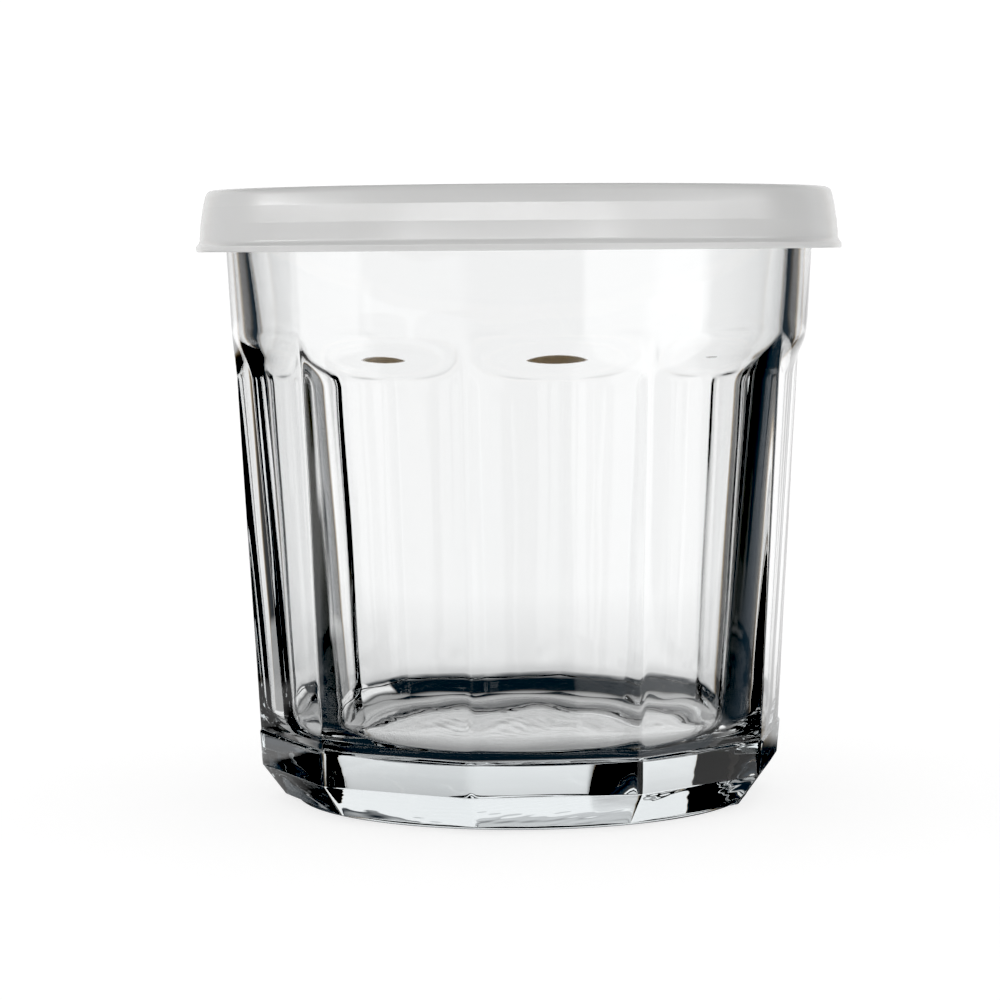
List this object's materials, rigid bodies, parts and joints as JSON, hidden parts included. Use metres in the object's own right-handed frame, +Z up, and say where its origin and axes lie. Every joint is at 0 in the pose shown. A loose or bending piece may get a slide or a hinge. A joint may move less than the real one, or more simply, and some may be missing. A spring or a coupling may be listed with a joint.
{
  "type": "lidded glass cup",
  "caption": "Straight-sided clear glass tumbler with recessed arch-topped panels and a heavy faceted base, closed by a press-on translucent plastic lid.",
  "frame": {"origin": "centre of the foot ring's underside, on the surface the cup stands on", "axes": "+Z up along the cup's axis of turning; one flat panel faces -Y"},
  "size_m": [0.0984, 0.0984, 0.093],
  "materials": {
    "clear_glass": "fire-polished clear soda-lime glass, smooth",
    "frosted_plastic": "milky translucent polyethylene, satin"
  },
  "bodies": {
    "root": {"glass": "clear_glass", "lid": "frosted_plastic"}
  },
  "joints": []
}
